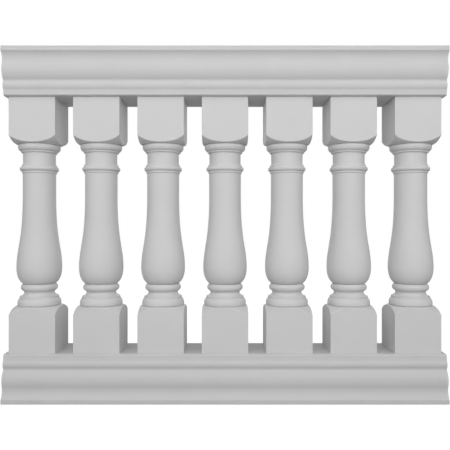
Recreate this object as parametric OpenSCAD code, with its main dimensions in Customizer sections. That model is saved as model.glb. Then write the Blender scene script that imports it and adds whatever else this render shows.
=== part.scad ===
// Fiberglass balustrade section: two moulded hollow rails with a row of turned balusters between them.
// The bottom rail is the top rail's moulding turned over. X runs along the rails, Z is up,
// and the origin is on the ground under the middle of the section.

/* [Section] */
// Number of balusters in the section
baluster_count = 7; // [3:1:9]
// Centre to centre spacing of the balusters
pitch = 167.1; // [150:0.1:190]
// Rail left over beyond the outer face of each end baluster
end_margin = 9.6; // [2:0.1:60]
// Height of a baluster between the two rails
baluster_h = 666; // [640:1:760]

/* [Rail moulding] */
// Height of each rail
rail_h = 124; // [116:0.5:150]
// Reach of the square fillet at the wide edge of the rail beyond the blocks
fillet_reach = 28.5; // [25:0.1:34]
// Height of that fillet
fillet_h = 12; // [10:0.1:16]
// Radius that eases the outer edge of the fillet
fillet_ease = 2.5; // [1:0.1:4]
// Reach of the cove at its throat
throat_reach = 18.9; // [16:0.1:21]
// Distance of the throat from the wide face
throat_depth = 33.5; // [29:0.1:38]
// Reach of the ovolo at its crown
crown_reach = 22.7; // [21.5:0.1:24]
// Distance of the crown from the wide face
crown_depth = 56; // [52:0.1:60]
// Reach of the narrow quirk between the ovolo and the bead
quirk_reach = 12.1; // [11:0.1:14]
// Height of the quirk
quirk_h = 5; // [2:0.1:8]
// Height of the flat bead
bead_h = 19.2; // [16:0.1:25]
// Reach of the bead beyond the quirk
bead_reach = 3.4; // [2:0.1:6]
// Reach of the plain band next to the balusters
band_reach = 10.7; // [9.5:0.1:12]
// Height over which the band rounds under to the baluster side
lip_round = 4; // [2:0.1:5]
// Thickness of the fiberglass laminate
laminate = 6; // [4:0.1:7.5]

/* [Rail core] */
// Width of the steel tube inside each rail
tube_w = 76.2; // [60:0.1:100]
// Height of the steel tube
tube_h = 50.8; // [40:0.1:70]
// Wall of the steel tube
tube_wall = 3.2; // [2:0.1:5.8]
// Outer radius of the tube's rolled corners
tube_round = 6.4; // [6:0.1:12]
// Distance from each rail end back to the tube end
tube_setback = 6; // [0:0.5:30]
// Diameter of the steel tie rods
rod_d = 12.7; // [8:0.1:20]
// Length of rod that stands out of each tube for its nut
rod_end = 20; // [12:0.5:28]
// Clearance round a rod in its holes
rod_clear = 0.4; // [0.2:0.05:0.8]

/* [Baluster blocks] */
// Side of the square blocks
block_w = 120.6; // [118:0.1:140]
// Height of a block at the middle of its face
block_h = 116.6; // [90:0.1:125]
// Fall of the rounded shoulder from the middle of a face to a corner
shoulder_fall = 18; // [8:0.1:24]
// Radius of the shoulder's curve
shoulder_r = 58; // [40:0.5:90]

/* [Baluster turning] */
// Radius of the base ring on the lower block
base_ring_r = 56.4; // [54:0.1:59]
// Height of the base ring above the face of the block
base_ring_h = 19.4; // [17:0.1:24]
// Radius of the base ring's rounded upper edge
base_ring_round = 17.5; // [15:0.1:24]
// Radius of the fillet above the base ring
base_fillet_r = 50.6; // [48:0.1:53]
// Height of that fillet
base_fillet_h = 6; // [3:0.1:9]
// Radius of the scotia's hollow
scotia_round = 10; // [8:0.1:11]
// Radius of the baluster at the bottom of the scotia
scotia_r = 39.3; // [34:0.1:42]
// Height of the scotia
scotia_h = 15; // [13:0.1:17]
// Radius of the bead under the vase
vase_bead_r = 48.1; // [46:0.1:52]
// Height of that bead
vase_bead_h = 18; // [14:0.1:21]
// Depth of the grooves beside that bead
vase_bead_depth = 5.6; // [3:0.1:8]
// Largest radius of the vase
belly_r = 58.75; // [50:0.05:60]
// Height of the vase from its bottom to its largest radius
belly_h = 43.5; // [36:0.1:60]
// How far the vase closes in towards its bottom if carried on to a full quarter
belly_close = 22.5; // [16:0.1:26]
// Height over which the vase draws in to the shaft
flare_h = 194; // [160:1:230]
// Fullness of the curve at the shaft end of the flare
flare_shaft_pull = 125; // [80:1:160]
// Fullness of the curve at the belly end of the flare
flare_belly_pull = 56; // [20:1:70]
// Radius of the shaft
shaft_r = 42.9; // [36:0.1:44]
// Radius of the fillet under the astragal
collar_r = 45.3; // [44.2:0.1:47]
// Height of that fillet
collar_h = 4; // [2:0.1:7]
// Largest radius of the astragal
astragal_r = 50.5; // [48.5:0.1:54]
// Height of the astragal
astragal_h = 15.6; // [12:0.1:18]
// Radius of the fillet above the astragal
upper_fillet_r = 45.7; // [44:0.1:48]
// Height of that fillet
upper_fillet_h = 3.4; // [1:0.1:6]
// Radius of the necking
neck_r = 42.2; // [36:0.1:43.5]
// Height of the necking between its two fillets
neck_h = 31; // [20:0.1:45]
// Radius of the annulet above the necking
annulet_r = 46.8; // [44:0.1:49]
// Height of the annulet
annulet_h = 4.7; // [3:0.1:8]
// Radius of the echinus under the upper block
echinus_r = 55; // [53:0.1:59]
// Height of the echinus below the face of the block
echinus_h = 19.4; // [16:0.1:24]
// Radius of the echinus's rounded lower edge
echinus_round = 12; // [11.5:0.1:14]
// Step between a rounded ring and the fillet next to it
ring_step = 1; // [0.4:0.1:2]
// Radius with which the ring on each block turns in towards the block
ring_tuck = 2; // [0.5:0.1:3]

/* [Hidden] */
steps = 12;
// Angle at which the vase's lower curve stops at the groove
vase_end_a = 78;
fiberglass = "gainsboro";
steel = "slategray";

// Places along the section and up it
rail_len = (baluster_count - 1) * pitch + block_w + 2 * end_margin;
seat_z = rail_h;
soffit_z = seat_z + baluster_h;
total_h = soffit_z + rail_h;
tube_len = rail_len - 2 * tube_setback;
tube_low_z = seat_z - laminate - tube_h;
tube_high_z = soffit_z + laminate;
rod_low_z = tube_low_z - rod_end;
rod_len = tube_high_z + tube_h + rod_end - rod_low_z;
rod_hole_d = rod_d + 2 * rod_clear;
cut_over = 1;

// Circles of the rail moulding: the cove's from its chord, and the ovolo's tangent to the cove
half_block = block_w / 2;
cove_drop = fillet_reach - throat_reach;
cove_run = throat_depth - fillet_h;
cove_r = (cove_run * cove_run + cove_drop * cove_drop) / (2 * cove_drop);
crown_rise = crown_reach - throat_reach;
crown_run = crown_depth - throat_depth;
ovolo_r = (crown_rise * crown_rise + crown_run * crown_run) / (2 * crown_rise) - cove_r;
cove_c = [half_block + throat_reach + cove_r, throat_depth];
ovolo_c = [half_block + crown_reach - ovolo_r, crown_depth];
meet_a = atan2(ovolo_c.y - cove_c.y, ovolo_c.x - cove_c.x);
ovolo_end_a = acos((half_block + quirk_reach - ovolo_c.x) / ovolo_r);
bead_start = ovolo_c.y + ovolo_r * sin(ovolo_end_a) + quirk_h;
bead_r = (bead_h * bead_h / 4 + bead_reach * bead_reach) / (2 * bead_reach);
bead_a = asin(bead_h / 2 / bead_r);
bead_c = [half_block + quirk_reach + bead_reach - bead_r, bead_start + bead_h / 2];

// Inside of the laminate: concentric arcs behind the cove and the ovolo, plain walls elsewhere
inner_band = half_block + band_reach - laminate;
inner_start_depth = (fillet_h + laminate) / 2;
inner_start_a = -acos((throat_depth - inner_start_depth) / (cove_r + laminate)) - 90;
inner_end_a = acos((inner_band - ovolo_c.x) / (ovolo_r - laminate));

// Heights of the turned mouldings, from the foot of the baluster up and from its head down
corner_r = half_block * sqrt(2);
block_reach = corner_r + cut_over;
base_ring_top = block_h + base_ring_h;
scotia_bottom = base_ring_top + base_fillet_h;
bead_bottom = scotia_bottom + scotia_h;
vase_bottom = bead_bottom + vase_bead_h;
belly_z = vase_bottom + belly_h;
echinus_bottom = baluster_h - block_h - echinus_h;
annulet_bottom = echinus_bottom - annulet_h;
neck_bottom = annulet_bottom - neck_h;
astragal_top = neck_bottom - upper_fillet_h;
astragal_bottom = astragal_top - astragal_h;
collar_bottom = astragal_bottom - collar_h;

// Points along an arc about a centre, between two angles
function arc(c, r, a0, a1) = [for (i = [0:steps]) let (a = a0 + (a1 - a0) * i / steps) c + r * [cos(a), sin(a)]];

// Points along part of an ellipse about a centre, with separate radii across and up
function oval(c, rx, ry, a0, a1) =
    [for (i = [0:steps]) let (a = a0 + (a1 - a0) * i / steps) c + [rx * cos(a), ry * sin(a)]];

// Convex bulge between two heights on the turned profile, out to a largest radius
function bulge(r_edge, r_top, z0, z1) =
    let (
        rise = r_top - r_edge,
        half = (z1 - z0) / 2,
        r = (half * half + rise * rise) / (2 * rise),
        a = atan2(half, r - rise)
    )
    arc([r_top - r, (z0 + z1) / 2], r, -a, a);

// Curve that leaves one radius and meets another along the axis, drawn in by a pull at each end
function flare(r0, z0, pull0, r1, z1, pull1) =
    [for (i = [0:2 * steps])
        let (
            t = i / (2 * steps),
            near = (1 - t) * (1 - t),
            far = t * t
        )
        [
            r0 * near * (1 + 2 * t) + r1 * far * (3 - 2 * t),
            near * (1 - t) * z0 + 3 * near * t * (z0 + pull0) + 3 * far * (1 - t) * (z1 - pull1) + far * t * z1
        ]
    ];

function reversed(points) = [for (i = [len(points) - 1:-1:0]) points[i]];

function mirrored(points) = [for (p = points) [-p.x, p.y]];

// Rail outline on one side, from the wide face to the lip beside the balusters, then back up inside.
// The first coordinate runs across the rail and the second is the depth below the wide face.
function rail_side() = concat(
    arc([half_block + fillet_reach - fillet_ease, fillet_ease], fillet_ease, -90, 0),
    arc(cove_c, cove_r, atan2(fillet_h - throat_depth, half_block + fillet_reach - cove_c.x) + 360, meet_a),
    arc(ovolo_c, ovolo_r, meet_a - 180, ovolo_end_a),
    arc(bead_c, bead_r, -bead_a, bead_a),
    oval([half_block, rail_h - lip_round], band_reach, lip_round, 0, 90),
    [[half_block, rail_h - laminate], [inner_band, rail_h - laminate]],
    arc(ovolo_c, ovolo_r - laminate, inner_end_a, meet_a - 180),
    arc(cove_c, cove_r + laminate, meet_a, inner_start_a + 360),
    [[cove_c.x + (cove_r + laminate) * cos(inner_start_a), laminate]]
);

// Hollow rail moulding with its wide face at zero and the balusters on the side of growing Z
module rail_shell() {
    side = rail_side();
    rotate([90, 0, 90])
        translate([0, 0, -rail_len / 2])
            linear_extrude(rail_len)
                polygon(concat(side, reversed(mirrored(side))));
}

// Turns a piece made for the bottom rail over into the top rail
module turned_over() {
    translate([0, 0, total_h])
        mirror([0, 0, 1])
            children();
}

// Upright holes for the tie rods, through everything between two heights
module rod_holes(z0, z1) {
    for (i = [1:baluster_count])
        translate([baluster_x(i), 0, z0 - cut_over])
            cylinder(h = z1 - z0 + 2 * cut_over, d = rod_hole_d, $fn = 48);
}

// Flat strip that closes the open side of a rail, flush with its lips
module closing_strip() {
    difference() {
        translate([-rail_len / 2, -half_block, seat_z - laminate])
            cube([rail_len, block_w, laminate]);
        rod_holes(seat_z - laminate, seat_z);
    }
}

// Outline of a rectangle about the origin with rounded corners
function rounded_rect(w, h, r) = concat(
    arc([w / 2 - r, h / 2 - r], r, 0, 90),
    arc([r - w / 2, h / 2 - r], r, 90, 180),
    arc([r - w / 2, r - h / 2], r, 180, 270),
    arc([w / 2 - r, r - h / 2], r, 270, 360)
);

// Bar along a core tube's axis, cut back from the tube's outer surface by an inset
module tube_bar(inset, length) {
    translate([-length / 2, 0, tube_low_z + tube_h / 2])
        rotate([90, 0, 90])
            linear_extrude(length)
                polygon(rounded_rect(tube_w - 2 * inset, tube_h - 2 * inset, tube_round - inset));
}

// Steel tube that lies against the closing strip inside a rail
module core_tube() {
    difference() {
        tube_bar(0, tube_len);
        tube_bar(tube_wall, tube_len + 2 * cut_over);
        rod_holes(tube_low_z, tube_low_z + tube_h);
    }
}

function baluster_x(i) = (i - (baluster_count + 1) / 2) * pitch;

// Centre of the shoulder's curve on the lower block, from the face line, the corner and the radius
function shoulder_centre() =
    let (
        face = [half_block, block_h],
        corner = [corner_r, block_h - shoulder_fall],
        chord = corner - face,
        away = [chord.y, -chord.x] / norm(chord)
    )
    (face + corner) / 2 + away * sqrt(shoulder_r * shoulder_r - chord * chord / 4);

// Shoulder of a lower block from outside its corners in to a ring
function shoulder(ring_r) =
    let (
        c = shoulder_centre(),
        a0 = acos((block_reach - c.x) / shoulder_r),
        a1 = acos((ring_r - c.x) / shoulder_r)
    )
    arc(c, shoulder_r, a0, a1);

// Outline made for the lower block, turned over onto the upper block and run the other way
function turned_up(points) = reversed([for (p = points) [p.x, baluster_h - p.y]]);

// Edge of a ring where it meets its block: turns from the end of the shoulder out to the ring's full radius
function ring_foot(ring_r) =
    let (
        inner = shoulder(ring_r - ring_tuck),
        start = inner[len(inner) - 1]
    )
    arc([start.x, start.y + ring_tuck], ring_tuck, 270, 360);

// Rounded edge of a ring on a block: its curve runs from the ring's full radius to the step by the fillet
function ring_edge(ring_r, edge_r, round, top) =
    let (
        c_r = ring_r - round,
        a = acos((edge_r + ring_step - c_r) / round)
    )
    arc([c_r, top - round * sin(a)], round, 0, a);

// Half outline of a baluster from its foot to its head: radius, then height
function baluster_profile() = concat(
    [[0, 0], [block_reach, 0]],
    shoulder(base_ring_r - ring_tuck),
    ring_foot(base_ring_r),
    ring_edge(base_ring_r, base_fillet_r, base_ring_round, base_ring_top),
    [[base_fillet_r, base_ring_top], [base_fillet_r, scotia_bottom]],
    arc([scotia_r + scotia_round, scotia_bottom + scotia_round], scotia_round, 270,
        180 - asin((scotia_h - scotia_round) / scotia_round)),
    bulge(vase_bead_r - vase_bead_depth, vase_bead_r, bead_bottom, vase_bottom),
    reversed(oval([belly_r - belly_close, belly_z], belly_close, -belly_h / sin(vase_end_a), 0, vase_end_a)),
    flare(belly_r, belly_z, flare_belly_pull, shaft_r, belly_z + flare_h, flare_shaft_pull),
    arc([collar_r, collar_bottom - (collar_r - shaft_r)], collar_r - shaft_r, 180, 90),
    [[collar_r, astragal_bottom]],
    bulge(collar_r, astragal_r, astragal_bottom, astragal_top),
    [[upper_fillet_r, astragal_top]],
    arc([upper_fillet_r, neck_bottom + upper_fillet_r - neck_r], upper_fillet_r - neck_r, 270, 180),
    [[neck_r, annulet_bottom], [annulet_r, annulet_bottom], [annulet_r, echinus_bottom]],
    turned_up(ring_edge(echinus_r, annulet_r, echinus_round, block_h + echinus_h)),
    turned_up(ring_foot(echinus_r)),
    turned_up(shoulder(echinus_r - ring_tuck)),
    [[block_reach, baluster_h], [0, baluster_h]]
);

module top_rail() {
    color(fiberglass)
        turned_over()
            rail_shell();
}

module bottom_rail() {
    color(fiberglass)
        rail_shell();
}

module top_rail_soffit() {
    color(fiberglass)
        turned_over()
            closing_strip();
}

module bottom_rail_seat() {
    color(fiberglass)
        closing_strip();
}

module top_rail_tube() {
    color(steel)
        turned_over()
            core_tube();
}

module bottom_rail_tube() {
    color(steel)
        core_tube();
}

// Square blank with the turned outline cut into it, so that the shoulders arch across the block faces
module baluster(i) {
    color(fiberglass)
        translate([baluster_x(i), 0, seat_z])
            difference() {
                intersection() {
                    translate([-half_block, -half_block, 0])
                        cube([block_w, block_w, baluster_h]);
                    rotate_extrude($fn = 96)
                        polygon(baluster_profile());
                }
                translate([0, 0, -cut_over])
                    cylinder(h = baluster_h + 2 * cut_over, d = rod_hole_d, $fn = 48);
            }
}

module tie_rod(i) {
    color(steel)
        translate([baluster_x(i), 0, rod_low_z])
            cylinder(h = rod_len, d = rod_d, $fn = 48);
}

top_rail();
bottom_rail();
top_rail_soffit();
bottom_rail_seat();
top_rail_tube();
bottom_rail_tube();
for (i = [1:baluster_count]) {
    baluster(i);
    tie_rod(i);
}
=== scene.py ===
import math

import bmesh
import bpy
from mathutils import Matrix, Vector


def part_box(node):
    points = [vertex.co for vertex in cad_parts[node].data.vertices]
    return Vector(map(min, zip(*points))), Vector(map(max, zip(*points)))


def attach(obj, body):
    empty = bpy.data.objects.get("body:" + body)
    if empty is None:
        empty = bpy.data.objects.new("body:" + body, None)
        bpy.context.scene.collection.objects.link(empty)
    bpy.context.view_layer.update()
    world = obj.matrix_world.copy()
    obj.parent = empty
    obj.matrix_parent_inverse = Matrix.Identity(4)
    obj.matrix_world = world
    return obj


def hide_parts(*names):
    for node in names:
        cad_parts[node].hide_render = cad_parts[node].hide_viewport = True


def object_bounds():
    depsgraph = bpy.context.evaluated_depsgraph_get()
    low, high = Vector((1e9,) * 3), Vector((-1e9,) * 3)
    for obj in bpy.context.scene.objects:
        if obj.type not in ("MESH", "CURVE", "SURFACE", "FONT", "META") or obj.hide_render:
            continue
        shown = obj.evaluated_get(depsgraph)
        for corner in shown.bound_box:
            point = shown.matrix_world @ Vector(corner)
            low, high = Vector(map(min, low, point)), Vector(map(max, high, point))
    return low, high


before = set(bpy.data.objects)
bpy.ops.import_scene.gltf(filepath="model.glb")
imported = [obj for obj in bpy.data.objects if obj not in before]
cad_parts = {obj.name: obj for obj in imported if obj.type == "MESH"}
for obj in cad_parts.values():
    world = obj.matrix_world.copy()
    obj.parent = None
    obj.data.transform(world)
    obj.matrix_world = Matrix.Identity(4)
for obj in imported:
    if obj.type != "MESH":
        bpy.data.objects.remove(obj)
cad_low, cad_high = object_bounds()


# Moulded rails
# Each rail is one hand-laid fiberglass channel about 6 mm thick, open towards the balusters and at its ends.
# The top rail is the bottom rail's moulding turned over. It comes out of the mould with a matt grey gelcoat
# outside, and inside it shows the raw glass mat that was rolled onto the gelcoat.
rail_low, rail_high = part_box("bottom_rail")
rail_height = rail_high.z - rail_low.z
half_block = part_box("baluster_1")[1].y
fillet = rail_high.y
fillet_height = 0.012
fillet_ease = 0.0025
throat = half_block + 0.0189
throat_depth = 0.0335
crown = half_block + 0.0227
crown_depth = 0.056
quirk = half_block + 0.0121
quirk_height = 0.005
bead_height = 0.0192
bead_swell = 0.0034
band = half_block + 0.0107
lip_round = 0.004
laminate = 0.006
mould_arris = 0.0006
cut_arris = 0.0005
rail_tone = 0.60
cloud_shades = (0.95, 1.05)
same_place = 1e-6
inside_margin = 1e-4
corner_below = math.radians(155)
smooth_below = math.radians(38)
square_on = 0.9
side_on = 0.5


def arc(centre, radii, start, end, steps=12):
    """Points along an arc or part of an ellipse about a centre, between two angles in radians."""
    turns = [start + (end - start) * i / steps for i in range(steps + 1)]
    return [centre + Vector((radii[0] * math.cos(a), radii[1] * math.sin(a))) for a in turns]


def bow(half_chord, rise):
    """Radius of the arc that rises this much over half its chord."""
    return (half_chord**2 + rise**2) / (2 * rise)


def rail_side():
    """Half the rail's section: down the outside from the wide face to the lip, then back up the inside."""
    cove_r = bow(throat_depth - fillet_height, fillet - throat)
    cove = Vector((throat + cove_r, throat_depth))
    ovolo_r = bow(crown_depth - throat_depth, crown - throat) - cove_r
    ovolo = Vector((crown - ovolo_r, crown_depth))
    meet = math.atan2(ovolo.y - cove.y, ovolo.x - cove.x)
    cove_start = math.tau + math.atan2(fillet_height - cove.y, fillet - cove.x)
    ovolo_end = math.acos((quirk - ovolo.x) / ovolo_r)
    bead_r = bow(bead_height / 2, bead_swell)
    bead_turn = math.asin(bead_height / 2 / bead_r)
    bead_start = ovolo.y + ovolo_r * math.sin(ovolo_end) + quirk_height
    bead = Vector((quirk + bead_swell - bead_r, bead_start + bead_height / 2))
    ease = Vector((fillet - fillet_ease, fillet_ease))
    lip = Vector((half_block, rail_height - lip_round))
    band_height = lip.y - bead_start - bead_height
    hollow_r = bow(band_height, quirk - band)
    hollow_turn = math.asin(band_height / hollow_r)
    hollow = Vector((band + hollow_r, lip.y))
    inner_band = band - laminate
    inner_end = math.acos((inner_band - ovolo.x) / (ovolo_r - laminate))
    inner_depth = (fillet_height + laminate) / 2
    inner_start = 1.5 * math.pi - math.acos((throat_depth - inner_depth) / (cove_r + laminate))
    outside = arc(ease, (fillet_ease, fillet_ease), -math.pi / 2, 0)
    outside += arc(cove, (cove_r, cove_r), cove_start, meet)
    outside += arc(ovolo, (ovolo_r, ovolo_r), meet - math.pi, ovolo_end)
    outside += arc(bead, (bead_r, bead_r), -bead_turn, bead_turn)
    outside += arc(hollow, (hollow_r, hollow_r), math.pi + hollow_turn, math.pi)
    outside += arc(lip, (band - half_block, lip_round), 0, math.pi / 2)
    inside = [Vector((half_block, rail_height - laminate)), Vector((inner_band, rail_height - laminate))]
    inside += arc(ovolo, (ovolo_r - laminate, ovolo_r - laminate), inner_end, meet - math.pi)
    inside += arc(cove, (cove_r + laminate, cove_r + laminate), meet, inner_start)
    inside.append(Vector((inside[-1].x, laminate)))
    return outside + inside


def draw_line(name, points):
    """Start a piece as one vertex and extrude it from point to point, which leaves it in edit mode."""
    steps = zip(points, points[1:])
    points = points[:1] + [there for here, there in steps if (there - here).length > same_place]
    bpy.ops.object.select_all(action="DESELECT")
    bpy.ops.mesh.primitive_plane_add(size=rail_height)
    piece = bpy.context.object
    piece.name = piece.data.name = name
    bpy.ops.object.mode_set(mode="EDIT")
    bpy.ops.mesh.select_mode(type="VERT")
    bpy.ops.mesh.merge(type="CENTER")
    bpy.ops.transform.translate(value=points[0])
    for here, there in zip(points, points[1:]):
        bpy.ops.mesh.extrude_region_move(TRANSFORM_OT_translate={"value": there - here})
    return piece


def select(piece, kind, wanted):
    """In edit mode, select just the vertices, edges or faces that the test wants."""
    bpy.ops.mesh.select_mode(type={"verts": "VERT", "edges": "EDGE", "faces": "FACE"}[kind])
    bpy.ops.mesh.select_all(action="DESELECT")
    mesh = bmesh.from_edit_mesh(piece.data)
    for element in getattr(mesh, kind):
        if wanted(element):
            element.select_set(True)
    mesh.select_flush_mode()
    bmesh.update_edit_mesh(piece.data)


def is_corner(vert):
    """A vertex of a drawn line where the line turns sharply."""
    if len(vert.link_edges) != 2:
        return False
    ahead, behind = [edge.other_vert(vert).co - vert.co for edge in vert.link_edges]
    return ahead.angle(behind) < corner_below


def lies_across(edge, axis):
    """An edge whose two ends are at the same place along an axis."""
    here, there = [getattr(vert.co, axis) for vert in edge.verts]
    return abs(here - there) < same_place


def face_outwards():
    """In edit mode, point every face of the piece outwards."""
    bpy.ops.mesh.select_all(action="SELECT")
    bpy.ops.mesh.normals_make_consistent(inside=False)


def finish_piece(piece, slot, *nodes):
    """Smooth the piece's shading, let the large faces lead it, and set it in the frame."""
    bpy.ops.object.mode_set(mode="OBJECT")
    bpy.ops.object.shade_smooth_by_angle(angle=smooth_below)
    modifier = piece.modifiers.new("even shading", "WEIGHTED_NORMAL")
    modifier.keep_sharp = True
    bpy.ops.object.modifier_apply(modifier=modifier.name)
    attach(piece, "root")
    if nodes:
        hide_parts(*nodes)


class Wire:
    """A node's socket in a tree of nodes. Arithmetic on it adds Math nodes to the tree."""

    def __init__(self, tree, socket=None):
        self.tree = tree
        self.socket = socket

    def node(self, kind, settings=None, inputs=None, output=0):
        """Add a node: its settings are set first, then its sockets get their values or links."""
        made = self.tree.nodes.new(kind)
        for key, value in (settings or {}).items():
            if key == "stops":
                for stop, (place, colour) in zip(made.color_ramp.elements, value):
                    stop.position = place
                    stop.color = colour
            else:
                setattr(made, key, value)
        for key, value in (inputs or {}).items():
            if isinstance(value, Wire):
                self.tree.links.new(value.socket, made.inputs[key])
            else:
                made.inputs[key].default_value = value
        return Wire(self.tree, made.outputs[output] if made.outputs else None)

    def maths(self, operation, first, second):
        """A Math node on two values."""
        return self.node("ShaderNodeMath", {"operation": operation}, {0: first, 1: second})

    def blend(self, share, first, second):
        """A colour between two others. A Mix node takes colours in sockets 6 and 7, and gives one in 2."""
        return self.node("ShaderNodeMix", {"data_type": "RGBA"}, {0: share, 6: first, 7: second}, output=2)

    def __add__(self, other):
        return self.maths("ADD", self, other)

    __radd__ = __add__

    def __mul__(self, other):
        return self.maths("MULTIPLY", self, other)

    __rmul__ = __mul__

    def __sub__(self, other):
        return self.maths("SUBTRACT", self, other)

    def __rsub__(self, other):
        return self.maths("SUBTRACT", other, self)


def new_material(name):
    """An empty material and a wire to add its nodes with."""
    material = bpy.data.materials.new(name)
    material.use_nodes = True
    material.node_tree.nodes.clear()
    return material, Wire(material.node_tree)


def grey(level):
    """A plain grey of this level."""
    return (level, level, level, 1)


def make_gelcoat(name, tone):
    """Matt light grey gelcoat: faint clouds from spraying, a fine speckle and a slight orange peel."""
    material, tree = new_material(name)
    place = tree.node("ShaderNodeTexCoord", output="Object")
    cloud = tree.node("ShaderNodeTexNoise", inputs={"Vector": place, "Scale": 11, "Detail": 3})
    speckle = tree.node("ShaderNodeTexNoise", inputs={"Vector": place, "Scale": 900, "Detail": 1})
    peel = tree.node("ShaderNodeTexNoise", inputs={"Vector": place, "Scale": 320, "Detail": 2})
    dark, light = [grey(shade * tone) for shade in cloud_shades]
    tint = tree.blend(cloud * 0.7 + speckle * 0.3, dark, light)
    bump = tree.node("ShaderNodeBump", inputs={"Strength": 0.12, "Distance": 0.0003, "Height": peel})
    surface = tree.node("ShaderNodeBsdfPrincipled", inputs={
        "Base Color": tint,
        "Roughness": 0.62 + cloud * 0.16,
        "Normal": bump,
        "Specular IOR Level": 0.25,
    })
    tree.node("ShaderNodeOutputMaterial", inputs={"Surface": surface})
    return material


resin = (0.40, 0.40, 0.35, 1)
strand = (0.62, 0.62, 0.56, 1)
strand_size = (0.0012, 0.0012, 0.02)
strand_lies = ((1.2, 0, 0.5), (1.0, 0, 2.2), (0.7, 0, 4.0), (1.5, 0, 5.4))


def make_glass_mat():
    """Raw laminate: short glass strands lying every way in yellowish resin, with a rough rolled face."""
    material, tree = new_material("glass_mat")
    place = tree.node("ShaderNodeTexCoord", output="Object")
    strands = None
    for lie in strand_lies:
        laid = tree.node("ShaderNodeMapping", {"vector_type": "TEXTURE"}, {
            "Vector": place,
            "Rotation": lie,
            "Scale": strand_size,
        })
        layer = tree.node("ShaderNodeTexNoise", inputs={"Vector": laid, "Scale": 1, "Detail": 1})
        strands = layer if strands is None else tree.maths("MAXIMUM", strands, layer)
    tint = tree.node("ShaderNodeValToRGB", {"stops": [(0.52, resin), (0.78, strand)]}, {0: strands})
    bump = tree.node("ShaderNodeBump", inputs={"Strength": 0.4, "Distance": 0.0006, "Height": strands})
    surface = tree.node("ShaderNodeBsdfPrincipled", inputs={
        "Base Color": tint,
        "Roughness": 0.75 - strands * 0.3,
        "Normal": bump,
    })
    tree.node("ShaderNodeOutputMaterial", inputs={"Surface": surface})
    return material


def is_raw(face, wide_face):
    """A rail face on the raw side of the laminate: it looks at the hollow, or is a cut end."""
    middle = face.calc_center_median()
    depth = abs(middle.z - wide_face)
    cut_end = abs(face.normal.x) > square_on
    towards_middle = middle.y * face.normal.y < 0 and abs(face.normal.x) < side_on
    on_lip = depth > rail_height - mould_arris
    inside = laminate - inside_margin < depth < rail_height - laminate + inside_margin
    level = abs(face.normal.z) > square_on
    return cut_end or (towards_middle and not on_lip) or (inside and level)


rail_gelcoat = make_gelcoat("rail_gelcoat", rail_tone)
glass_mat = make_glass_mat()
side = rail_side()
section = side + [Vector((-p.x, p.y)) for p in reversed(side)]
for node, wide_face, inwards in (("bottom_rail", cad_low.z, 1), ("top_rail", cad_high.z, -1)):
    outline = [Vector((rail_low.x, p.x, wide_face + inwards * p.y)) for p in section]
    rail = draw_line(node + "_moulding", outline)
    select(rail, "verts", is_corner)
    bpy.ops.mesh.bevel(offset=mould_arris, segments=3, affect="VERTICES")
    bpy.ops.mesh.select_all(action="SELECT")
    bpy.ops.mesh.edge_face_add()
    bpy.ops.mesh.extrude_region_move(TRANSFORM_OT_translate={"value": (rail_high.x - rail_low.x, 0, 0)})
    face_outwards()
    select(rail, "edges", lambda edge: lies_across(edge, "x"))
    bpy.ops.mesh.bevel(offset=cut_arris, segments=2)
    rail.data.materials.append(rail_gelcoat)
    rail.data.materials.append(glass_mat)
    select(rail, "faces", lambda face: is_raw(face, wide_face))
    rail.active_material_index = 1
    bpy.ops.object.material_slot_assign()
    finish_piece(rail, "fiberglass", node)


# Closing strips
# Flat fiberglass strips that close the open side of each rail between its lips, bonded in flush. The
# balusters bear on them. The lower one's grey is darker than the rails' as painted shade between the
# blocks, and the upper one's is lighter as painted light on the underside.
seat_tone_painted_shade = 0.50
soffit_tone_painted_light = 0.645
for node, tone in (("bottom_rail_seat", seat_tone_painted_shade), ("top_rail_soffit", soffit_tone_painted_light)):
    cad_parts[node].material_slots[0].material = make_gelcoat(node + "_gelcoat", tone)


# Steel tubes
# A rectangular galvanised tube lies in each rail against its closing strip. It stiffens the rail and takes
# the pull of the tie rods, and a splice bar slides into its open ends.
dull_zinc = (0.42, 0.43, 0.44, 1)
clean_zinc = (0.62, 0.63, 0.64, 1)


def make_galvanised():
    """Hot-dip zinc: flat crystals in slightly different greys, each with its own gloss."""
    material, tree = new_material("galvanised")
    place = tree.node("ShaderNodeTexCoord", output="Object")
    crystal = tree.node("ShaderNodeTexVoronoi", inputs={"Vector": place, "Scale": 90}, output="Color")
    spangle = tree.node("ShaderNodeSeparateColor", inputs={0: crystal})
    stain = tree.node("ShaderNodeTexNoise", inputs={"Vector": place, "Scale": 14, "Detail": 4})
    tint = tree.blend(spangle * 0.6 + stain * 0.4, dull_zinc, clean_zinc)
    bump = tree.node("ShaderNodeBump", inputs={"Strength": 0.15, "Distance": 0.0002, "Height": stain})
    surface = tree.node("ShaderNodeBsdfPrincipled", inputs={
        "Base Color": tint,
        "Metallic": 0.85,
        "Roughness": 0.36 + spangle * 0.18,
        "Normal": bump,
    })
    tree.node("ShaderNodeOutputMaterial", inputs={"Surface": surface})
    return material


galvanised = make_galvanised()
for node in ("bottom_rail_tube", "top_rail_tube"):
    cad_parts[node].material_slots[0].material = galvanised


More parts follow.
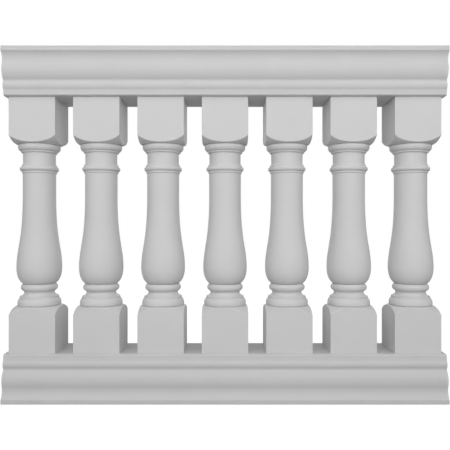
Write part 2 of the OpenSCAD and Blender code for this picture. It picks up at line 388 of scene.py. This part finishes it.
# Balusters
# Seven turned vase balusters of moulded fiberglass. Each mould is taken from a square blank that was turned
# between its ends, so the round shoulders arch across the faces of the two blocks. The arrises are eased a
# little for the mould, and a bore runs through the middle for the tie rod.
foot, head = [end.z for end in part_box("baluster_1")]
corner = half_block * math.sqrt(2)
block_height = 0.1166
shoulder_fall = 0.018
shoulder_radius = 0.058
ring_tuck = 0.0035
ring_step = 0.001
base_ring = 0.0564
base_ring_height = 0.0208
base_ring_round = 0.0175
base_fillet = 0.0506
base_fillet_height = 0.0052
scotia = 0.0393
scotia_reach = 0.026
scotia_rise = 0.012
scotia_turn = math.radians(55)
scotia_height = 0.0149
vase_bead = 0.0481
vase_bead_height = 0.018
vase_bead_depth = 0.0056
belly = 0.05875
belly_height = 0.0430
belly_close = 0.0225
belly_end = math.radians(80)
flare_height = 0.194
flare_shaft_pull = 0.125
flare_belly_pull = 0.056
shaft = 0.0429
collar = 0.0453
collar_height = 0.0042
collar_groove = 0.001
astragal = 0.0505
astragal_height = 0.0128
upper_fillet = 0.0457
upper_fillet_height = 0.0044
neck = 0.0422
neck_height = 0.0316
neck_sweep = 0.0018
annulet = 0.0468
annulet_height = 0.0047
annulet_slope = 0.0016
echinus = 0.055
echinus_height = 0.0194
echinus_round = 0.012
bore = 0.00675
turned_arris = 0.0005
block_arris = 0.0011
# The balusters' grey is a little lighter than the rails' as painted light that makes up for shade on the
# blocks.
baluster_tone = 0.645
turning_steps = 96
turning_seam = 1e-5
block_seam = 2e-5
form_margin = 0.004
arris_above = math.radians(40)


def shoulder_centre():
    """Centre of the shoulder's curve over a block's foot, from a face's middle, a corner and the radius."""
    face_top = Vector((half_block, block_height))
    corner_top = Vector((corner, block_height - shoulder_fall))
    chord = corner_top - face_top
    away = Vector((chord.y, -chord.x)).normalized()
    return (face_top + corner_top) / 2 + away * math.sqrt(shoulder_radius**2 - chord.length_squared / 4)


def shoulder_arc(outer, inner):
    """The shoulder's curve from one radius of the baluster in to another."""
    centre = shoulder_centre()
    turns = [math.acos((r - centre.x) / shoulder_radius) for r in (outer, inner)]
    return arc(centre, (shoulder_radius, shoulder_radius), *turns, steps=24)


def ring_outline(ring, ring_height, ring_round, next_radius):
    """A ring on its block: tucked in at the shoulder, straight, then rounded to a step by the fillet."""
    start = shoulder_arc(corner, ring - ring_tuck)[-1]
    middle = ring - ring_round
    turn = math.acos((next_radius + ring_step - middle) / ring_round)
    top = block_height + ring_height
    tuck = arc(start + Vector((0, ring_tuck)), (ring_tuck, ring_tuck), -math.pi / 2, 0, steps=6)
    edge = arc(Vector((middle, top - ring_round * math.sin(turn))), (ring_round, ring_round), 0, turn)
    return tuck + edge


def bulge(edge, swell, upper_edge, low, high):
    """A convex moulding: from its lower edge out to its largest radius, and in again to its upper edge."""
    radius = bow((high - low) / 2, swell - edge)
    turns = [math.acos(1 - (swell - r) / radius) for r in (edge, upper_edge)]
    return arc(Vector((swell - radius, (low + high) / 2)), (radius, radius), -turns[0], turns[1])


def flare(start, end, start_pull, end_pull, steps=28):
    """A smooth curve that leaves and arrives along the baluster's axis, drawn out by a pull at each end."""
    points = []
    for i in range(steps + 1):
        t = i / steps
        s = 1 - t
        height = s**3 * start.y + 3 * s * s * t * (start.y + start_pull)
        height += 3 * s * t * t * (end.y - end_pull) + t**3 * end.y
        points.append(Vector((start.x * s * s * (1 + 2 * t) + end.x * t * t * (3 - 2 * t), height)))
    return points


def turned_outline():
    """The turned part's outline between the two blocks, as radius and height over the baluster's foot."""
    whole = head - foot
    base_top = block_height + base_ring_height
    scotia_low = base_top + base_fillet_height
    bead_low = scotia_low + scotia_height
    vase_low = bead_low + vase_bead_height
    belly_at = vase_low + belly_height
    echinus_low = whole - block_height - echinus_height
    annulet_low = echinus_low - annulet_height
    neck_low = annulet_low - neck_height
    astragal_top = neck_low - upper_fillet_height
    astragal_low = astragal_top - astragal_height
    collar_low = astragal_low - collar_height
    throat_at = scotia_low + scotia_rise * math.sin(scotia_turn)
    hollow_end = math.pi - math.asin((bead_low - throat_at) / scotia_rise)
    hollow = Vector((scotia + scotia_reach, throat_at))
    sweep = (neck_sweep, neck_sweep)
    bead_edge = vase_bead - vase_bead_depth
    vase_centre = Vector((belly - belly_close, belly_at))
    vase_radii = (belly_close, belly_height / math.sin(belly_end))
    shaft_top = Vector((shaft, belly_at + flare_height))
    points = ring_outline(base_ring, base_ring_height, base_ring_round, base_fillet)
    points += [Vector((base_fillet, base_top)), Vector((base_fillet, scotia_low))]
    points += arc(hollow, (scotia_reach, scotia_rise), math.pi + scotia_turn, hollow_end)
    points += bulge(bead_edge, vase_bead, bead_edge, bead_low, vase_low)
    points += arc(vase_centre, vase_radii, -belly_end, 0, steps=16)
    points += flare(Vector((belly, belly_at)), shaft_top, flare_belly_pull, flare_shaft_pull)[1:]
    points += [Vector((shaft, collar_low - collar + shaft)), Vector((collar, collar_low))]
    points.append(Vector((collar, astragal_low)))
    points += bulge(collar - collar_groove, astragal, upper_fillet, astragal_low, astragal_top)
    points.append(Vector((upper_fillet, neck_low)))
    points += arc(Vector((neck, neck_low)) + Vector(sweep), sweep, 1.5 * math.pi, math.pi, steps=4)
    points += [Vector((neck, annulet_low)), Vector((annulet - annulet_slope, annulet_low))]
    points += [Vector((annulet, annulet_low + annulet_slope)), Vector((annulet, echinus_low))]
    top_ring = ring_outline(echinus, echinus_height, echinus_round, annulet)
    points += [Vector((p.x, whole - p.y)) for p in reversed(top_ring)]
    return points


def turn_round(steps):
    """In edit mode, spin the drawn line round the upright axis and close the seam."""
    bpy.ops.mesh.select_all(action="SELECT")
    bpy.ops.mesh.spin(steps=steps, angle=math.tau, center=(0, 0, 0), axis=(0, 0, 1))
    bpy.ops.mesh.select_all(action="SELECT")
    bpy.ops.mesh.remove_doubles(threshold=turning_seam)
    face_outwards()


def start_ring(name, sides, radius, place):
    """Start a piece as one flat ring of vertices at its place, which leaves it in edit mode."""
    bpy.ops.object.select_all(action="DESELECT")
    bpy.ops.mesh.primitive_circle_add(vertices=sides, radius=radius)
    piece = bpy.context.object
    piece.name = piece.data.name = name
    bpy.ops.object.mode_set(mode="EDIT")
    bpy.ops.mesh.select_mode(type="VERT")
    bpy.ops.transform.translate(value=place)
    return piece


def is_gap(edge):
    """An edge with only one face, round an open hole."""
    return len(edge.link_faces) == 1


def on_square(edge):
    """An edge on the faces of the square block."""
    return all(abs(max(abs(v.co.x), abs(v.co.y)) - half_block) < same_place for v in edge.verts)


def at_height(edge, height):
    """A level edge at this height."""
    return all(abs(v.co.z - height) < same_place for v in edge.verts)


def is_block_arris(edge):
    """A sharp edge on the outside of a block, apart from those that bear on the rails."""
    bears = at_height(edge, foot) or at_height(edge, head)
    return on_square(edge) and not bears and edge.calc_face_angle(0) > arris_above


def make_block(name, ring, end, inwards):
    """A block: its shoulder from ring to square, laid on the turned form, then its sides and bored end."""
    shoulder = shoulder_arc(corner + form_margin, ring - form_margin)
    form = draw_line("shoulder_form", [Vector((p.x, 0, end + inwards * p.y)) for p in shoulder])
    turn_round(turning_steps)
    bpy.ops.object.mode_set(mode="OBJECT")

    start = shoulder_arc(corner, ring - ring_tuck)[-1]
    ring_at = (0, 0, end + inwards * start.y)
    block = start_ring(name, turning_steps, start.x, ring_at)
    bpy.ops.mesh.select_all(action="DESELECT")
    bpy.ops.mesh.primitive_circle_add(
        vertices=4,
        radius=corner,
        location=ring_at,
        rotation=(0, 0, math.pi / 4),
    )
    bpy.ops.mesh.subdivide(number_cuts=turning_steps // 4 - 1)
    bpy.ops.mesh.select_all(action="SELECT")
    bpy.ops.mesh.bridge_edge_loops(number_cuts=3)
    bpy.ops.object.mode_set(mode="OBJECT")
    lay = block.modifiers.new("lay on shoulder", "SHRINKWRAP")
    lay.target = form
    lay.wrap_method = "PROJECT"
    lay.use_project_z = True
    lay.use_negative_direction = True
    bpy.ops.object.modifier_apply(modifier=lay.name)
    bpy.data.objects.remove(form)

    bpy.ops.object.mode_set(mode="EDIT")
    select(block, "edges", lambda edge: is_gap(edge) and on_square(edge))
    bpy.ops.mesh.extrude_edges_move(TRANSFORM_OT_translate={"value": (0, 0, -inwards * block_height)})
    bpy.ops.transform.resize(value=(1, 1, 0), center_override=(0, 0, end))
    bpy.ops.mesh.extrude_edges_move()
    bpy.ops.transform.tosphere(value=1)
    reach = max(v.co.xy.length for v in bmesh.from_edit_mesh(block.data).verts if v.select)
    bpy.ops.transform.resize(value=(bore / reach, bore / reach, 1), center_override=(0, 0, end))
    bpy.ops.object.mode_set(mode="OBJECT")
    return block


def pick(*pieces):
    """Select just these pieces, with the last of them active."""
    bpy.ops.object.select_all(action="DESELECT")
    for piece in pieces:
        piece.select_set(True)
    bpy.context.view_layer.objects.active = pieces[-1]


def copy_to_nodes(pattern, nodes, ending, slot):
    """Set a copy of a pattern in the place of each node, and clear the pattern away."""
    for node in nodes:
        low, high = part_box(node)
        pick(pattern)
        bpy.ops.object.duplicate()
        piece = bpy.context.object
        piece.name = piece.data.name = node + ending
        piece.location.x = (low.x + high.x) / 2
        bpy.ops.object.transform_apply(location=True)
        finish_piece(piece, slot, node)
    bpy.data.objects.remove(pattern)


pattern = draw_line("baluster_pattern", [Vector((p.x, 0, foot + p.y)) for p in turned_outline()])
select(pattern, "verts", is_corner)
bpy.ops.mesh.bevel(offset=turned_arris, segments=2, affect="VERTICES")
turn_round(turning_steps)
bpy.ops.object.mode_set(mode="OBJECT")
lower_block = make_block("lower_block", base_ring, foot, 1)
upper_block = make_block("upper_block", echinus, head, -1)
pick(lower_block, upper_block, pattern)
bpy.ops.object.join()
bpy.ops.object.mode_set(mode="EDIT")
bpy.ops.mesh.select_all(action="SELECT")
bpy.ops.mesh.remove_doubles(threshold=block_seam)
select(pattern, "edges", lambda edge: is_gap(edge) and at_height(edge, foot))
bpy.ops.mesh.extrude_edges_move(TRANSFORM_OT_translate={"value": (0, 0, head - foot)})
bpy.ops.mesh.select_all(action="SELECT")
bpy.ops.mesh.remove_doubles(threshold=block_seam)
face_outwards()
select(pattern, "edges", is_block_arris)
bpy.ops.mesh.bevel(offset=block_arris, segments=3)
bpy.ops.object.mode_set(mode="OBJECT")
pattern.data.materials.append(make_gelcoat("baluster_gelcoat", baluster_tone))
balusters = sorted(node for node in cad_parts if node.startswith("baluster_"))
copy_to_nodes(pattern, balusters, "_turned", "fiberglass")


# Tie rods
# Half-inch zinc-plated rods run from tube to tube through the bores of the balusters and pull the section
# together. Both ends carry a right-hand thread through the tube, and about 20 mm stands out for the nut.
rods = sorted(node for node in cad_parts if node.startswith("tie_rod_"))
rod_low, rod_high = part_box(rods[0])
rod_radius = (rod_high.x - rod_low.x) / 2
rod_steps = 20
rod_chamfer = 0.0012
thread_pitch = 0.00195
thread_depth = 0.0011
thread_turns = 37
thread_bury = 0.0002
crest_start = 0.42 * thread_pitch
crest_end = 0.56 * thread_pitch
ridge_width = 0.98 * thread_pitch
rod_core = rod_radius - thread_depth
ridge_root = rod_core - thread_bury
thread_start = rod_low.z + rod_chamfer
thread_end = thread_start + thread_turns * thread_pitch
mid_height = (cad_low.z + cad_high.z) / 2
dull_plate = (0.46, 0.45, 0.41, 1)
bright_plate = (0.70, 0.69, 0.64, 1)


def make_zinc_plate():
    """Bright zinc plate with a faint yellow cast and handling marks."""
    material, tree = new_material("zinc_plate")
    place = tree.node("ShaderNodeTexCoord", output="Object")
    marks = tree.node("ShaderNodeTexNoise", inputs={"Vector": place, "Scale": 180, "Detail": 4})
    tint = tree.blend(marks, dull_plate, bright_plate)
    bump = tree.node("ShaderNodeBump", inputs={"Strength": 0.15, "Distance": 0.0002, "Height": marks})
    surface = tree.node("ShaderNodeBsdfPrincipled", inputs={
        "Base Color": tint,
        "Metallic": 0.9,
        "Roughness": 0.28 + marks * 0.2,
        "Normal": bump,
    })
    tree.node("ShaderNodeOutputMaterial", inputs={"Surface": surface})
    return material


def cut_with(piece, operation, other):
    """Join or cut a piece with another solid, which is used up."""
    modifier = piece.modifiers.new("with " + other.name, "BOOLEAN")
    modifier.operation = operation
    modifier.object = other
    bpy.context.view_layer.objects.active = piece
    bpy.ops.object.modifier_apply(modifier=modifier.name)
    bpy.data.objects.remove(other)


def close_ends():
    """In edit mode, fill every open end of the piece."""
    bpy.ops.mesh.select_all(action="SELECT")
    bpy.ops.mesh.remove_doubles(threshold=same_place)
    bpy.ops.mesh.fill_holes(sides=0)
    face_outwards()


def make_threads():
    """The thread's ridge as a solid, wound up the lower end, with a copy turned over for the upper end."""
    ridge = draw_line("thread", [
        Vector((ridge_root, 0, thread_start)),
        Vector((rod_radius, 0, thread_start + crest_start)),
        Vector((rod_radius, 0, thread_start + crest_end)),
        Vector((ridge_root, 0, thread_start + ridge_width)),
    ])
    select(ridge, "verts", lambda vert: len(vert.link_edges) == 1)
    bpy.ops.mesh.edge_face_add()
    bpy.ops.object.mode_set(mode="OBJECT")
    wind = ridge.modifiers.new("wind", "SCREW")
    wind.screw_offset = thread_pitch
    wind.iterations = thread_turns
    wind.steps = wind.render_steps = rod_steps
    bpy.ops.object.modifier_apply(modifier=wind.name)
    bpy.ops.object.mode_set(mode="EDIT")
    close_ends()
    bpy.ops.mesh.duplicate()
    bpy.ops.transform.rotate(value=math.pi, orient_axis="X", center_override=(0, 0, mid_height))
    bpy.ops.object.mode_set(mode="OBJECT")
    return ridge


lower_half = [
    Vector((rod_core - rod_chamfer, 0, rod_low.z)),
    Vector((rod_core, 0, thread_start)),
    Vector((rod_core, 0, thread_end)),
    Vector((rod_radius, 0, thread_end + thread_depth)),
]
upper_half = [Vector((p.x, 0, 2 * mid_height - p.z)) for p in reversed(lower_half)]
bar = draw_line("rod_pattern", lower_half + upper_half)
turn_round(rod_steps)
close_ends()
bpy.ops.object.mode_set(mode="OBJECT")
cut_with(bar, "UNION", make_threads())
zinc_plate = make_zinc_plate()
bar.data.materials.append(zinc_plate)
copy_to_nodes(bar, rods, "_threaded", "steel")


# Nuts and washers
# A plate washer and a hexagon nut on each end of every rod, drawn up against the steel tube inside the
# rail. They are modelled once on the first rod's lower end, repeated along the rail, and turned over into
# the top.
rod_x = (rod_low.x + rod_high.x) / 2
rod_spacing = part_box(rods[1])[0].x - rod_low.x
tube_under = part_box("bottom_rail_tube")[0].z
round_steps = 48
washer_radius = 0.0175
washer_thickness = 0.0025
washer_arris = 0.0004
nut_sides = 6
nut_radius = 0.011
nut_height = 0.0107
nut_face = 0.0092
nut_chamfer = math.radians(30)
nut_top = tube_under - washer_thickness
cone_margin = 0.001


def make_plate(name, sides, radius, top, height):
    """A flat plate of several sides with a round hole for the rod, drawn down to its thickness."""
    place = (rod_x, 0, top)
    plate = start_ring(name, sides, radius, place)
    if sides < round_steps:
        bpy.ops.mesh.subdivide(number_cuts=round_steps // sides - 1)
    bpy.ops.mesh.select_all(action="DESELECT")
    bpy.ops.mesh.primitive_circle_add(vertices=round_steps, radius=rod_radius, location=place)
    bpy.ops.mesh.select_all(action="SELECT")
    bpy.ops.mesh.bridge_edge_loops()
    bpy.ops.mesh.select_all(action="SELECT")
    bpy.ops.mesh.extrude_region_move(TRANSFORM_OT_translate={"value": (0, 0, -height)})
    face_outwards()
    return plate


def is_washer_rim(edge):
    """A level edge round the outside of the first washer."""
    hole_to_rim = (rod_radius + washer_radius) / 2
    outside = all((v.co.xy - Vector((rod_x, 0))).length > hole_to_rim for v in edge.verts)
    return outside and lies_across(edge, "z")


washer = make_plate("washer", round_steps, washer_radius, tube_under, washer_thickness)
select(washer, "edges", is_washer_rim)
bpy.ops.mesh.bevel(offset=washer_arris, segments=2)
bpy.ops.object.mode_set(mode="OBJECT")

nut = make_plate("nut", nut_sides, nut_radius, nut_top, nut_height)
bpy.ops.object.mode_set(mode="OBJECT")
bpy.ops.object.select_all(action="DESELECT")
bpy.ops.mesh.primitive_cone_add(
    vertices=round_steps,
    radius1=nut_face - cone_margin / math.tan(nut_chamfer),
    radius2=nut_face + (nut_height + cone_margin) / math.tan(nut_chamfer),
    depth=nut_height + 2 * cone_margin,
    location=(rod_x, 0, nut_top - nut_height / 2),
)
cut_with(nut, "INTERSECT", bpy.context.object)

for kind, piece in (("washers", washer), ("nuts", nut)):
    pick(piece)
    along = piece.modifiers.new("along the rail", "ARRAY")
    along.count = len(rods)
    along.use_relative_offset = False
    along.use_constant_offset = True
    along.constant_offset_displace = (rod_spacing, 0, 0)
    bpy.ops.object.modifier_apply(modifier=along.name)
    piece.data.materials.append(zinc_plate)
    piece.name = piece.data.name = "bottom_rail_" + kind
    finish_piece(piece, "steel")
    bpy.ops.object.duplicate()
    turned = bpy.context.object
    turned.name = turned.data.name = "top_rail_" + kind
    bpy.ops.object.mode_set(mode="EDIT")
    bpy.ops.mesh.select_all(action="SELECT")
    bpy.ops.transform.rotate(value=math.pi, orient_axis="X", center_override=(0, 0, mid_height))
    finish_piece(turned, "steel")


# Floor
# A plain pale studio floor. The camera and mirrors see it white with the section's soft shadow, and other
# light that bounces off it is held down so that the undersides of the rails stay in shade.
floor_size = 30
floor_white = 1.1
floor_shadow = 0.12
floor_bounce = 0.45


def seen_rays(tree):
    """1 for what the camera sees straight, in a mirror or through glass, and 0 for all other light."""
    seen = tree.node("ShaderNodeLightPath", output="Is Camera Ray")
    for ray in ("Is Glossy Ray", "Is Transmission Ray"):
        seen = tree.maths("MAXIMUM", seen, tree.node("ShaderNodeLightPath", output=ray))
    return seen


bpy.ops.object.select_all(action="DESELECT")
bpy.ops.mesh.primitive_plane_add(size=floor_size, location=(0, 0, cad_low.z))
floor = bpy.context.object
floor.name = floor.data.name = "studio_floor"
floor_paint, tree = new_material("floor_paint")
white = tree.node("ShaderNodeEmission", inputs={"Color": grey(1), "Strength": floor_white})
shaded = tree.node("ShaderNodeBsdfDiffuse", inputs={"Color": grey(1)})
pale = tree.node("ShaderNodeMixShader", inputs={0: floor_shadow, 1: white, 2: shaded})
dim = tree.node("ShaderNodeBsdfDiffuse", inputs={"Color": grey(floor_bounce)})
paint = tree.node("ShaderNodeMixShader", inputs={0: seen_rays(tree), 1: dim, 2: pale})
tree.node("ShaderNodeOutputMaterial", inputs={"Surface": paint})
floor.data.materials.append(floor_paint)


# Studio light
# A long soft box over the camera, a low and a high box on each side, a broad one behind, and an even dome
# of light. The dome is seen as pure white by the camera and by mirrors. A box has a name, a place, a size
# and its watts.
dome_level = 0.30
soft_boxes = (
    ("key_box", (0, -1.69, 1.07), (3, 0.6), 15),
    ("left_box", (-1.19, -2.56, 1.48), (1.2, 1.2), 7.5),
    ("right_box", (1.19, -2.56, 1.48), (1.2, 1.2), 7.5),
    ("high_left_box", (-1.48, -1.76, 2.38), (1.5, 1.5), 9),
    ("high_right_box", (1.48, -1.76, 2.38), (1.5, 1.5), 9),
    ("back_box", (0, 2.95, 0.98), (4, 1), 30),
)
aim = Vector((0, 0, mid_height))
for name, place, size, watts in soft_boxes:
    lamp = bpy.data.lights.new(name, "AREA")
    lamp.shape = "RECTANGLE"
    lamp.size, lamp.size_y = size
    lamp.energy = watts
    box = bpy.data.objects.new(name, lamp)
    box.location = place
    box.rotation_euler = (aim - box.location).to_track_quat("-Z", "Y").to_euler()
    box.visible_camera = False
    bpy.context.scene.collection.objects.link(box)

world = bpy.data.worlds.new("studio_dome")
bpy.context.scene.world = world
world.use_nodes = True
world.node_tree.nodes.clear()
tree = Wire(world.node_tree)
dome = dome_level + (1 - dome_level) * seen_rays(tree)
sky = tree.node("ShaderNodeBackground", inputs={"Color": grey(1), "Strength": dome})
tree.node("ShaderNodeOutputWorld", inputs={"Surface": sky})
bpy.context.scene.view_settings.view_transform = "Standard"


# Camera
# Square on to the section at its mid height, as the photograph was taken, with the rail ends just inside
# the frame.
field_of_view = math.radians(45)
camera_distance = 1.4692
camera_data = bpy.data.cameras.new("camera")
camera_data.angle = field_of_view
camera = bpy.data.objects.new("camera", camera_data)
camera.location = (0, -camera_distance, mid_height)
camera.rotation_euler = (math.pi / 2, 0, 0)
bpy.context.scene.collection.objects.link(camera)
bpy.context.scene.camera = camera
